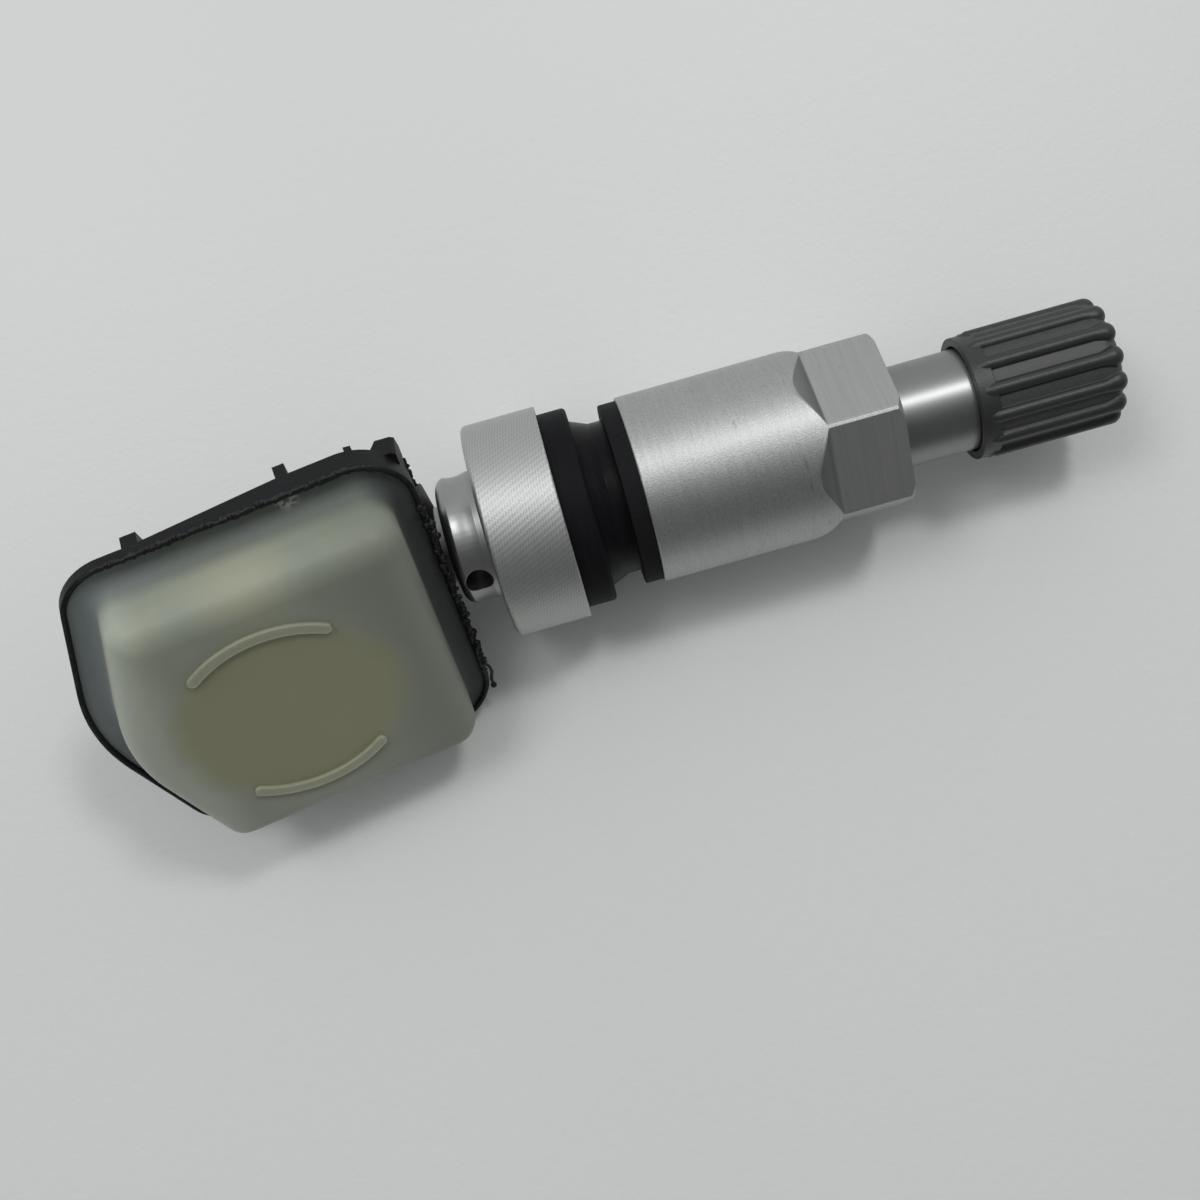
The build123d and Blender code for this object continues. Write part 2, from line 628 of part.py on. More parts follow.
def posts(radius, low, high):
    """Round posts at the board's four fixing points."""
    shapes = []
    for reach, side in POSTS:
        for y in (-side, side):
            shapes.append(Pos(-reach, y, (low + high) / 2) * Cylinder(radius, high - low))
    return shapes


def base_housing():
    shape = slab(outline(-BODY_INSET), BODY_BOTTOM, FLANGE_BOTTOM)
    shape = fillet(shape.edges().group_by(Axis.Z)[0], BODY_ROUND)
    for part in (*rim(), *gussets()):
        shape += part
    hollow = outline(-BODY_INSET - BASE_WALL)
    shape -= slab(hollow, FLOOR_TOP, FLANGE_TOP + CUT)

    channel_radius = SCREW_HEAD_RADIUS + CHANNEL_GAP
    dome = VALVE_IN_HOUSING * rod(channel_radius + DOME_WALL, -DOME_LENGTH, 0)
    shape += dome & slab(hollow, FLOOR_TOP - FLOOR / 2, FLANGE_BOTTOM)
    shape += VALVE_IN_HOUSING * bracket()
    shape -= slab(outline(PRESS_GAP), FLANGE_BOTTOM, FLANGE_TOP + CUT)
    bead = slab(outline(LIP_WIDTH) - outline(-BEAD_INSET), FLANGE_TOP, FLANGE_TOP + BEAD_HEIGHT)
    shape += fillet(bead.edges().group_by(Axis.Z)[-1], BEAD_ROUND)

    tail_end = X_TAIL - X_BRACKET - PRESS_GAP
    web_end = X_WEB - X_BRACKET
    for tool in (
        rod(SPIGOT_RADIUS + LOOSE_GAP, BOSS_HEIGHT, BOSS_HEIGHT + CUT),
        rod(TAIL_RADIUS + PRESS_GAP, tail_end, BOSS_HEIGHT + CUT),
        rod(SCREW_RADIUS + SCREW_HOLE_GAP, web_end - CUT, tail_end + CUT),
        rod(channel_radius, -NOSE_REACH, web_end),
    ):
        shape -= VALVE_IN_HOUSING * tool

    for post in posts(POST_RADIUS, FLOOR_TOP, BOARD_BOTTOM):
        shape += post
    for pin in posts(POST_PIN_RADIUS, BOARD_BOTTOM, BOARD_TOP + POST_PIN_PROUD):
        shape += pin
    port_length = 2 * BODY_DEPTH
    shape -= Pos(-CHIP_REACH, CHIP_SIDE, BODY_BOTTOM) * Cylinder(PORT_RADIUS, port_length)
    return place(shape)


def circuit_board():
    shape = slab(form_outline(-WALL - BOARD_INSET), BOARD_BOTTOM, BOARD_TOP)
    for hole in posts(POST_PIN_RADIUS + BOARD_HOLE_GAP, BOARD_BOTTOM - CUT, BOARD_TOP + CUT):
        shape -= hole
    return place(shape)


def coin_cell():
    can = Pos(0, 0, CELL_BOTTOM + CELL_CAN_STEP) * Cylinder(
        CELL_RADIUS, CELL_HEIGHT - CELL_CAN_STEP, align=(Align.CENTER, Align.CENTER, Align.MIN)
    )
    can = fillet(can.edges(), CELL_ROUND)
    lid = Pos(0, 0, CELL_BOTTOM) * Cylinder(
        CELL_RADIUS - CELL_CAN_INSET, CELL_HEIGHT / 2, align=(Align.CENTER, Align.CENTER, Align.MIN)
    )
    return place(Pos(-CELL_REACH, 0, 0) * (can + lid))


def strip(*points):
    """A bent metal strip from its outline seen from the side."""
    return extrude(Plane.XZ * make_face(Polyline(*points, close=True)), TAB_WIDTH / 2, both=True)


def cell_tab_upper():
    inner = CELL_RADIUS + TAB_STANDOFF
    outer = inner + TAB_THICKNESS
    shape = strip(
        (0, CELL_TOP),
        (0, CELL_TOP + TAB_THICKNESS),
        (outer, CELL_TOP + TAB_THICKNESS),
        (outer, BOARD_TOP),
        (inner, BOARD_TOP),
        (inner, CELL_TOP),
    )
    return place(Pos(-CELL_REACH, 0, 0) * shape)


def cell_tab_lower():
    top = CELL_BOTTOM
    low = BOARD_TOP + TAB_THICKNESS
    end = LOWER_TAB_STEP + TAB_FOOT
    shape = strip(
        (-LOWER_TAB_START, top),
        (-LOWER_TAB_STEP, top),
        (-LOWER_TAB_STEP, low),
        (-end, low),
        (-end, BOARD_TOP),
        (-LOWER_TAB_STEP + TAB_THICKNESS, BOARD_TOP),
        (-LOWER_TAB_STEP + TAB_THICKNESS, top - TAB_THICKNESS),
        (-LOWER_TAB_START, top - TAB_THICKNESS),
    )
    return place(Pos(-CELL_REACH, 0, 0) * shape)


def sensor_chip():
    low = BOARD_BOTTOM - CHIP_HEIGHT
    shape = block((CHIP_SIZE, CHIP_SIZE, CHIP_HEIGHT), -CHIP_REACH, CHIP_SIDE, low)
    shape = chamfer(shape.edges().filter_by(Axis.Z), CHIP_NOTCH)
    return place(shape - Pos(-CHIP_REACH, CHIP_SIDE, low) * Cylinder(PORT_RADIUS, CHIP_HEIGHT))


def port_seal():
    ring = Circle(PORT_SEAL_RADIUS) - Circle(PORT_RADIUS)
    ring = Pos(-CHIP_REACH, CHIP_SIDE, 0) * ring
    return place(slab(ring, FLOOR_TOP, BOARD_BOTTOM - CHIP_HEIGHT))


def lf_coil():
    low = BOARD_BOTTOM - COIL_HEIGHT
    shape = block((COIL_LENGTH, COIL_WIDTH, COIL_HEIGHT), -COIL_REACH, COIL_SIDE, low)
    winding = (COIL_LENGTH - 2 * COIL_CHEEK, COIL_WIDTH - 2 * COIL_WAIST, COIL_HEIGHT - 2 * COIL_WAIST)
    groove = block((winding[0], COIL_WIDTH, COIL_HEIGHT), -COIL_REACH, COIL_SIDE, low)
    return place(shape - groove + block(winding, -COIL_REACH, COIL_SIDE, low + COIL_WAIST))


def rf_antenna():
    half = ANTENNA_SPAN / 2
    high = BOARD_TOP + ANTENNA_HEIGHT
    path = FilletPolyline(
        (-ANTENNA_REACH, -half, BOARD_TOP),
        (-ANTENNA_REACH, -half, high),
        (-ANTENNA_REACH, half, high),
        (-ANTENNA_REACH, half, BOARD_TOP),
        radius=ANTENNA_BEND,
    )
    return place(sweep(Plane(path @ 0, z_dir=path % 0) * Circle(ANTENNA_WIRE), path))


def quartz_crystal():
    reach, side = CRYSTAL_PLACE
    return place(block(CRYSTAL, -reach, side, BOARD_TOP))


def chip_capacitors():
    low = BOARD_BOTTOM - CAPACITOR[2]
    row = []
    for i in range(CAPACITORS):
        row.append(block(CAPACITOR, -CAPACITOR_REACH, CAPACITOR_SIDE + i * CAPACITOR_PITCH, low))
    return place(Compound(row))


NODES = (
    valve_stem,
    rim_grommet,
    nut_washer,
    sleeve_nut,
    valve_cap,
    cap_seal,
    core_plug,
    core_barrel,
    core_seal,
    core_pin,
    cup_seal,
    core_spring,
    fixing_screw,
    base_housing,
    cover_housing,
    circuit_board,
    coin_cell,
    cell_tab_upper,
    cell_tab_lower,
    sensor_chip,
    port_seal,
    lf_coil,
    rf_antenna,
    quartz_crystal,
    chip_capacitors,
)

os.makedirs("parts", exist_ok=True)
for node in NODES:
    export_step(node(), f"parts/{node.__name__}.step")
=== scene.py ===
import math

import bpy
import bmesh
from mathutils import Matrix, Vector, noise
from mathutils.bvhtree import BVHTree


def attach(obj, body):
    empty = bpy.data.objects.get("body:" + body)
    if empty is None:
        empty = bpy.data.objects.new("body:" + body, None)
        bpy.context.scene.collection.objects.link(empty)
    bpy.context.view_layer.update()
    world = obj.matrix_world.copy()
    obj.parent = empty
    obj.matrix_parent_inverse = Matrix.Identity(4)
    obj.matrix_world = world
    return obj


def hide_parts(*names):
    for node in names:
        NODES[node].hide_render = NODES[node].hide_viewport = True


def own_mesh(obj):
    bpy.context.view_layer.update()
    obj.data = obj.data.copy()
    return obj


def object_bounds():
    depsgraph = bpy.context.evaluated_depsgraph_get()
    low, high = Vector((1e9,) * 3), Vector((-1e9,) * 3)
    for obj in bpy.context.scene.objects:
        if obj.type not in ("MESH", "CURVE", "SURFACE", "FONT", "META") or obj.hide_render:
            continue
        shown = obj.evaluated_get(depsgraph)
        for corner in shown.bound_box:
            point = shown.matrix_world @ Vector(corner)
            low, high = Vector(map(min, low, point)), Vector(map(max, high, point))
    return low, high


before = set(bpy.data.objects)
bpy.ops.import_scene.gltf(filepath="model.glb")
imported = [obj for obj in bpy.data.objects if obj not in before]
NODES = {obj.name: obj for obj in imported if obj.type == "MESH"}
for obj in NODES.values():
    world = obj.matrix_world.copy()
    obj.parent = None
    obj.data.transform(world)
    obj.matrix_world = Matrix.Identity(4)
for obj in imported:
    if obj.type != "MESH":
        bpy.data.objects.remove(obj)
cad_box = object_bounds()

# Tyre pressure sensor on a pale bench top, seen straight from above.
# Places and sizes are in millimetres in the part's own frame: +X along the valve towards its cap, +Z up.
MM = 0.001
FLOOR_Z = cad_box[0].z / MM
FLOOR_HALF = 1500

# Camera: straight down, with the valve rising to the right in the picture
CAMERA_PLACE = (-3.06, -6.90, 105.0)
CAMERA_TURN = -15.7
CAMERA_LENS = 43.47
CAMERA_SENSOR = 36.0
CAMERA_NEAR = 1
CAMERA_FAR = 10000

# Lamps: place, side length and power; both face the part's origin
RIGHT_LAMP = ((130, 157, 360), 60, 0.32)
LEFT_LAMP = ((-140, 140, 360), 130, 0.32)

# Room: its light's strength on the near and the far side, the half width of the change, and its tint
ROOM_NEAR = 0.13
ROOM_FAR = 0.63
ROOM_FADE = 0.4
ROOM_TINT = (0.97, 1.0, 0.99)

# Housing frame: A along its straight sides towards the valve, B across, C out of the cover
ROLL = 46.7
PITCH = 9.5
BRACKET_FACE = -13.22
HALF_WIDTH = 13.29
EDGE_SETBACK = 0.51
NOSE_REACH = 26.95
NOSE_ANGLE = 17.0
EDGE_CORNER = 3.9
SHOULDER_CORNER = 3.6
NOSE_CORNER = 14.0
FLANGE_TOP = 4.55
LIP_RISE = 0.3
LIP_TOP = FLANGE_TOP + LIP_RISE
FORM_TOP = 9.55
CELL_REACH = 13.5
CELL_RADIUS = 8.0

# Marks on the cover, in the housing's frame: a scuff, and the middle of a painted pool of light
SCUFF = (-8.1, 12.9, FLANGE_TOP)
LIGHT_POOL = (-12.8, 10.6, 8.3)

# Weld flash, in the housing's frame: a bead along the seam, which swells along the upper side and beside
# the valve. Each pair of places says where a swelling starts and where it is full.
BEAD_OUTSIDE = 0.14
BEAD_SUNK = 0.05
BEAD_STEP = 0.16
BEAD_SIDES = 9
BEAD_RADIUS = 0.06
BEAD_ROUGH = 0.5
UPPER_ALONG = (-22.0, -20.0)
UPPER_ACROSS = (11.5, 13.0)
UPPER_SWELL = 0.1
VALVE_ALONG = (-1.6, -0.7)
VALVE_ACROSS = (10.2, 9.2)
VALVE_SWELL = 0.09
SWELL_ROUGH = 0.4
CORNER_STEPS = 12

# Crumbs: a crumb's middle stands out of the base by at most this share of its radius
CRUMB_RISE = 0.4
CRUMB_SEED = 5

# The bracket's ear carries crumbs between two places: forward of the bracket's face, across and outward
EAR_ROW = (Vector((0.05, 9.4, 0.9)), Vector((0.05, 6.8, 0.55)))

# A string of flash with a droplet at its end; each size is a radius and a roughness
STRING = (
    (-0.35, -8.1, LIP_TOP - 0.15), (-0.1, -8.4, LIP_TOP - 0.1), (0.08, -8.8, LIP_TOP - 0.1),
    (0.14, -9.4, LIP_TOP - 0.1), (0.05, -9.8, LIP_TOP - 0.15), (-0.08, -10.2, LIP_TOP - 0.15),
    (-0.1, -10.55, LIP_TOP - 0.1), (-0.1, -10.9, LIP_TOP - 0.1),
)
STRING_SIZE = (0.09, 0.4)
DROPLET_SIZE = (0.24, 0.15)

# Valve
COLLAR_RADIUS = 7.83
NUT_RADIUS = 6.865
CAP_RIB_FOOT = 4.5
CAP_VALLEY = 4.34
# Radii of the band of painted shade along the cap ribs' feet
CAP_CREVICE_SHADE = (4.33, 4.45)
X_COLLAR_BACK = -9.4
X_COLLAR_FACE = -3.9
X_NECK = -1.8
X_FLAT_RUNOUT = 13.1
X_FLATS = 15.0
X_SHANK_END = 16.5

# The collar's dashes: their pitch along the valve, their rows' pitch round it, and how far each slants
DASH_PITCH = 0.2
DASH_ROW = 0.42
DASH_SLANT = 0.12
ROW_SLANT = 0.5

# Threads: radius over the crests, pitch, groove depth, and where the thread starts and ends.
# Edges of the root and the crest are in shares of half a pitch from the root's middle.
SHANK_THREAD = (4.5, 1.0, 0.45, 0.9, 15.8)
TIP_THREAD = (3.86, 0.794, 0.38, 27.4, 34.3)
RINGS_PER_PITCH = 12
CREST_EDGE = 0.85
ROOT_EDGE = 0.1
CYLINDER_ROOM = 0.004
TURN_DIGITS = 4

# Settings of the shader nodes: the Mix node's sockets in its colour mode, and the Bevel node's samples
MIX_FACTOR, MIX_FIRST, MIX_SECOND, MIX_RESULT = 0, 6, 7, 2
BEVEL_SAMPLES = 6


def housing_axes():
    """The housing's three directions in the part's frame, and the bracket's own outward one."""
    roll, pitch = math.radians(ROLL), math.radians(PITCH)
    out = Vector((0, -math.sin(roll), math.cos(roll)))
    across = Vector((0, math.cos(roll), math.sin(roll)))
    along = math.cos(pitch) * Vector((1, 0, 0)) - math.sin(pitch) * out
    normal = math.sin(pitch) * Vector((1, 0, 0)) + math.cos(pitch) * out
    return along, across, normal, out


ALONG, ACROSS, NORMAL, OUT = housing_axes()
BRACKET = Vector((BRACKET_FACE, 0, 0))


def in_row(a, b, c):
    """A point of the housing's frame in the part's frame."""
    return BRACKET + a * ALONG + b * ACROSS + c * NORMAL


def ramp(value, start, end):
    """0 at start and 1 at end, held beyond them."""
    return min(1.0, max(0.0, (value - start) / (end - start)))


class Shader:
    """A material's node tree, grown from its principled shader."""

    def __init__(self, name):
        self.material = bpy.data.materials.new(name)
        self.material.use_nodes = True
        self.tree = self.material.node_tree
        self.bsdf = self.tree.nodes["Principled BSDF"]
        coordinates = self.tree.nodes.new("ShaderNodeTexCoord")
        self.place = self.vector("SCALE", coordinates.outputs["Object"], scale=1 / MM)
        self.x, self.y, self.z = self.split(self.place)

    def feed(self, socket, value):
        """Links a socket or sets its constant."""
        if isinstance(value, bpy.types.NodeSocket):
            self.tree.links.new(value, socket)
        elif socket.type == "RGBA":
            socket.default_value = (*value, 1.0)
        else:
            socket.default_value = value

    def vector(self, operation, a, b=None, scale=None):
        node = self.tree.nodes.new("ShaderNodeVectorMath")
        node.operation = operation
        self.feed(node.inputs[0], a)
        if b is not None:
            self.feed(node.inputs[1], b)
        if scale is not None:
            self.feed(node.inputs["Scale"], scale)
        return node.outputs["Value" if operation in ("DOT_PRODUCT", "LENGTH") else "Vector"]

    def split(self, vector):
        node = self.tree.nodes.new("ShaderNodeSeparateXYZ")
        self.feed(node.inputs[0], vector)
        return node.outputs

    def join(self, x, y, z):
        node = self.tree.nodes.new("ShaderNodeCombineXYZ")
        for socket, value in zip(node.inputs, (x, y, z)):
            self.feed(socket, value)
        return node.outputs[0]

    def math(self, operation, a, b=0.0):
        node = self.tree.nodes.new("ShaderNodeMath")
        node.operation = operation
        self.feed(node.inputs[0], a)
        self.feed(node.inputs[1], b)
        return node.outputs[0]

    def add(self, a, b):
        return self.math("ADD", a, b)

    def times(self, a, b):
        return self.math("MULTIPLY", a, b)

    def wave(self, value, length):
        """A sine wave of that length over a value."""
        return self.math("SINE", self.times(value, 2 * math.pi / length))

    def step(self, value, start, end):
        """0 before start, 1 after end and smooth between; start may be the larger."""
        node = self.tree.nodes.new("ShaderNodeMapRange")
        node.interpolation_type = "SMOOTHSTEP"
        self.feed(node.inputs["Value"], value)
        node.inputs["From Min"].default_value = min(start, end)
        node.inputs["From Max"].default_value = max(start, end)
        node.inputs["To Min"].default_value = 0.0 if start < end else 1.0
        node.inputs["To Max"].default_value = 1.0 if start < end else 0.0
        return node.outputs["Result"]

    def band(self, value, low, high, soft):
        """1 between two values, with soft edges."""
        above = self.step(value, low - soft, low + soft)
        return self.times(above, self.step(value, high + soft, high - soft))

    def remap(self, value, low, high):
        """A value of 0 to 1 spread over a range."""
        return self.add(self.times(value, high - low), low)

    def noise(self, scale, vector=None, detail=3.0, roughness=0.55):
        node = self.tree.nodes.new("ShaderNodeTexNoise")
        self.feed(node.inputs["Vector"], self.place if vector is None else vector)
        node.inputs["Scale"].default_value = scale
        node.inputs["Detail"].default_value = detail
        node.inputs["Roughness"].default_value = roughness
        return node.outputs["Fac"]

    def streaks(self, along, around, detail=3.0, roughness=0.55):
        """Noise drawn out round the valve axis, with so many grains per millimetre each way."""
        stretched = self.vector("MULTIPLY", self.place, (along, around, around))
        return self.noise(1.0, stretched, detail, roughness)

    def mix(self, factor, a, b):
        """A colour between two colours."""
        node = self.tree.nodes.new("ShaderNodeMix")
        node.data_type = "RGBA"
        self.feed(node.inputs[MIX_FACTOR], factor)
        self.feed(node.inputs[MIX_FIRST], a)
        self.feed(node.inputs[MIX_SECOND], b)
        return node.outputs[MIX_RESULT]

    def paint(self, colour, mask, strength, over):
        """A colour with another laid over it where the mask is 1, at a strength of 0 to 1."""
        return self.mix(self.times(mask, strength), colour, over)

    def bump(self, height, depth, normal=None):
        """Raises the surface by a height of 0 to 1 times a depth in millimetres."""
        node = self.tree.nodes.new("ShaderNodeBump")
        node.inputs["Strength"].default_value = 1.0
        node.inputs["Distance"].default_value = depth * MM
        self.feed(node.inputs["Height"], height)
        if normal is not None:
            self.feed(node.inputs["Normal"], normal)
        return node.outputs[0]

    def rounded(self, radius):
        """Softens sharp edges by a radius in millimetres."""
        node = self.tree.nodes.new("ShaderNodeBevel")
        node.samples = BEVEL_SAMPLES
        node.inputs["Radius"].default_value = radius * MM
        return node.outputs[0]

    def set(self, **inputs):
        """Feeds the principled shader's inputs, named with underscores for spaces."""
        for name, value in inputs.items():
            self.feed(self.bsdf.inputs[name.replace("_", " ")], value)

    def off_axis(self):
        """Distance from the valve axis."""
        return self.vector("LENGTH", self.join(0.0, self.y, self.z))

    def round_angle(self):
        """Angle round the valve axis, in turns."""
        return self.times(self.math("ARCTAN2", self.z, self.y), 1 / (2 * math.pi))

    def housing(self):
        """The place in the housing's frame."""
        moved = self.vector("SUBTRACT", self.place, tuple(BRACKET))
        return [self.vector("DOT_PRODUCT", moved, tuple(axis)) for axis in (ALONG, ACROSS, NORMAL)]

    def away_from(self, spot):
        """Distance from a spot of the housing's frame."""
        return self.vector("LENGTH", self.vector("SUBTRACT", self.place, tuple(in_row(*spot))))


def collar_dashes(s):
    """Fine slanting dashes in rows round the collar."""
    arc = s.times(s.round_angle(), 2 * math.pi * COLLAR_RADIUS)
    ticks = s.wave(s.add(s.x, s.times(arc, DASH_SLANT)), DASH_PITCH)
    rows = s.wave(s.add(s.times(s.x, ROW_SLANT), arc), DASH_ROW)
    return s.step(s.add(ticks, s.times(rows, 0.8)), -0.4, 0.9)


def stem_aluminium():
    """Satin turned aluminium, with dashes on a pale collar, a darker head and a darker tip."""
    dark, pale = (0.4, 0.405, 0.4), (0.52, 0.525, 0.52)
    collar_pale, dash_dark = (0.6, 0.605, 0.6), (0.22, 0.222, 0.22)
    tip_dark, head_dark = (0.26, 0.262, 0.26), (0.32, 0.325, 0.32)
    edge, tip_edge = 0.05, 0.2
    s = Shader("stem_aluminium")
    head = s.step(s.x, X_COLLAR_BACK + edge, X_COLLAR_BACK - edge)
    collar = s.band(s.x, X_COLLAR_BACK, X_COLLAR_FACE, edge)
    tip = s.step(s.x, X_SHANK_END - tip_edge, X_SHANK_END + tip_edge)
    lines = s.streaks(9.0, 0.25, detail=4.0, roughness=0.7)
    grain = s.noise(9.0, detail=2.0)
    dashes = s.times(collar_dashes(s), collar)
    tone = s.remap(s.add(s.times(lines, 0.5), s.times(grain, 0.5)), -0.3, 1.3)
    colour = s.mix(tone, dark, pale)
    colour = s.paint(colour, collar, 0.5, collar_pale)
    colour = s.paint(colour, dashes, 0.25, dash_dark)
    colour = s.paint(colour, tip, 0.8, tip_dark)
    colour = s.paint(colour, head, 0.5, head_dark)
    rough = s.add(s.remap(lines, 0.45, 0.53), s.add(s.times(head, -0.1), s.times(tip, -0.12)))
    relief = s.bump(lines, 0.004, s.rounded(0.09))
    relief = s.bump(dashes, 0.006, relief)
    s.set(Base_Color=colour, Metallic=1.0, Roughness=rough, Normal=relief)
    return s.material


def nut_aluminium():
    """Satin turned aluminium with milled flats, painted shade on the flats' run-outs and a few scratches.
    """
    dark, pale = (0.38, 0.385, 0.38), (0.56, 0.565, 0.56)
    milled_dark, milled_pale = (0.39, 0.395, 0.39), (0.46, 0.465, 0.46)
    runout_painted_shade, scratch_dark = (0.14, 0.142, 0.14), (0.25, 0.25, 0.25)
    s = Shader("nut_aluminium")
    flats = s.step(s.off_axis(), NUT_RADIUS - 0.04, NUT_RADIUS - 0.09)
    runout_shade_mask = s.times(s.band(s.x, X_FLAT_RUNOUT + 0.6, X_FLATS, 0.15), flats)
    lines = s.streaks(7.0, 0.25, detail=4.0, roughness=0.7)
    milling = s.streaks(4.0, 0.1, detail=5.0, roughness=0.75)
    grain = s.noise(9.0, detail=3.0)
    scratches = s.step(s.streaks(2.6, 0.4, detail=1.0), 0.69, 0.73)
    scratches = s.times(scratches, s.step(s.noise(0.5, detail=1.0), 0.5, 0.6))
    tone = s.step(s.add(s.times(lines, 0.3), s.times(grain, 0.7)), 0.25, 0.75)
    milled = s.mix(s.step(milling, 0.2, 0.8), milled_dark, milled_pale)
    colour = s.mix(flats, s.mix(tone, dark, pale), milled)
    # Painted shade: the run-outs at the flats' ends are darkened to stand in for the dark room they
    # reflect.
    colour = s.paint(colour, runout_shade_mask, 0.6, runout_painted_shade)
    colour = s.paint(colour, scratches, 0.4, scratch_dark)
    rough = s.add(s.remap(grain, 0.43, 0.51), s.times(flats, 0.06))
    relief = s.bump(s.add(s.times(lines, 0.4), grain), 0.012, s.rounded(0.05))
    relief = s.bump(s.times(milling, flats), 0.004, relief)
    s.set(Base_Color=colour, Metallic=1.0, Roughness=rough, Normal=relief)
    return s.material


def grommet_rubber():
    """Black rubber, dull and a little dusty, with a glossier neck."""
    black, pale, dust_grey = (0.004, 0.004, 0.005), (0.012, 0.012, 0.014), (0.04, 0.04, 0.042)
    s = Shader("grommet_rubber")
    neck = s.step(s.x, X_NECK - 0.1, X_NECK + 0.1)
    streaks = s.streaks(3.0, 0.5)
    dust = s.step(s.noise(5.0, detail=4.0), 0.6, 0.8)
    colour = s.paint(s.mix(streaks, black, pale), dust, 0.2, dust_grey)
    rough = s.add(s.remap(streaks, 0.5, 0.65), s.times(neck, -0.25))
    relief = s.bump(streaks, 0.03, s.rounded(0.1))
    s.set(Base_Color=colour, Roughness=rough, Specular_IOR_Level=0.09, Normal=relief)
    return s.material


def washer_plastic():
    """Matte black plastic."""
    black, pale = (0.006, 0.006, 0.007), (0.02, 0.02, 0.022)
    s = Shader("washer_plastic")
    grain = s.noise(6.0, detail=4.0)
    rough = s.remap(grain, 0.5, 0.7)
    relief = s.bump(grain, 0.02, s.rounded(0.08))
    s.set(Base_Color=s.mix(grain, black, pale), Roughness=rough, Specular_IOR_Level=0.07, Normal=relief)
    return s.material


def cap_plastic():
    """Dark grey plastic, with paler grain in the valleys and painted shade in dark lines along the ribs'
    feet.
    """
    dark, pale = (0.019, 0.02, 0.02), (0.03, 0.031, 0.031)
    valley_grey, crevice_painted_shade = (0.085, 0.087, 0.085), (0.008, 0.008, 0.008)
    s = Shader("cap_plastic")
    valley = s.step(s.off_axis(), CAP_RIB_FOOT, CAP_VALLEY)
    crevice_shade_mask = s.band(s.off_axis(), *CAP_CREVICE_SHADE, 0.03)
    grain = s.noise(5.0, detail=4.0, roughness=0.65)
    cloud = s.noise(0.6, detail=2.0)
    colour = s.mix(cloud, dark, pale)
    colour = s.mix(s.times(valley, s.times(grain, 0.8)), colour, valley_grey)
    # Painted shade: dark lines where the ribs meet the valleys.
    colour = s.paint(colour, crevice_shade_mask, 0.7, crevice_painted_shade)
    rough = s.add(s.remap(grain, 0.36, 0.48), s.times(valley, 0.06))
    relief = s.bump(grain, 0.02, s.rounded(0.1))
    s.set(Base_Color=colour, Roughness=rough, Specular_IOR_Level=0.6, Normal=relief)
    return s.material


def base_plastic():
    """Black moulded plastic with faint scuffs."""
    black, pale, scuff_grey = (0.006, 0.006, 0.007), (0.014, 0.014, 0.016), (0.06, 0.06, 0.065)
    s = Shader("base_plastic")
    grain = s.noise(4.0, detail=5.0, roughness=0.65)
    scuffs = s.step(s.streaks(0.8, 2.5, detail=4.0), 0.62, 0.75)
    colour = s.paint(s.mix(grain, black, pale), scuffs, 0.2, scuff_grey)
    rough = s.remap(grain, 0.4, 0.55)
    relief = s.bump(grain, 0.03, s.rounded(0.1))
    s.set(Base_Color=colour, Roughness=rough, Specular_IOR_Level=0.15, Normal=relief)
    return s.material


def flash_plastic():
    """Black plastic that has melted and set, so it is glossier than the base."""
    black, pale = (0.003, 0.003, 0.004), (0.014, 0.014, 0.015)
    s = Shader("flash_plastic")
    grain = s.noise(7.0, detail=4.0)
    rough = s.remap(grain, 0.36, 0.54)
    relief = s.bump(grain, 0.05)
    s.set(Base_Color=s.mix(grain, black, pale), Roughness=rough, Specular_IOR_Level=0.4, Normal=relief)
    return s.material


def cover_milk(s, a, cloud):
    """The raised form's milky colour: pale at the nose, dark towards the valve, with a painted pool of
    yellow light.
    """
    dark, pale = (0.32, 0.345, 0.285), (0.35, 0.37, 0.3)
    valve_dark, nose_pale, light_pool_yellow = (0.195, 0.21, 0.175), (0.5, 0.53, 0.46), (0.44, 0.435, 0.32)
    towards_valve = s.step(a, -12.0, -3.0)
    nose = s.step(a, -18.5, -22.0)
    # Painted light: a soft yellow pool of light round one spot on the raised form's slope.
    light_pool = s.step(s.away_from(LIGHT_POOL), 4.5, 0.5)
    milky = s.mix(s.step(cloud, 0.3, 0.7), dark, pale)
    milky = s.paint(milky, towards_valve, 0.6, valve_dark)
    milky = s.paint(milky, nose, 0.8, nose_pale)
    return s.paint(milky, light_pool, 0.6, light_pool_yellow)


def cover_disc(s, a, b, c, cloud):
    """Where the coin cell shows through the top of the raised form, with a blurred edge."""
    from_cell = s.vector("LENGTH", s.join(s.add(a, CELL_REACH), b, 0.0))
    blurred = s.add(from_cell, s.times(cloud, 2.0))
    inside = s.step(blurred, CELL_RADIUS + 2.2, CELL_RADIUS - 0.8)
    return s.times(inside, s.step(c, FORM_TOP - 0.6, FORM_TOP))


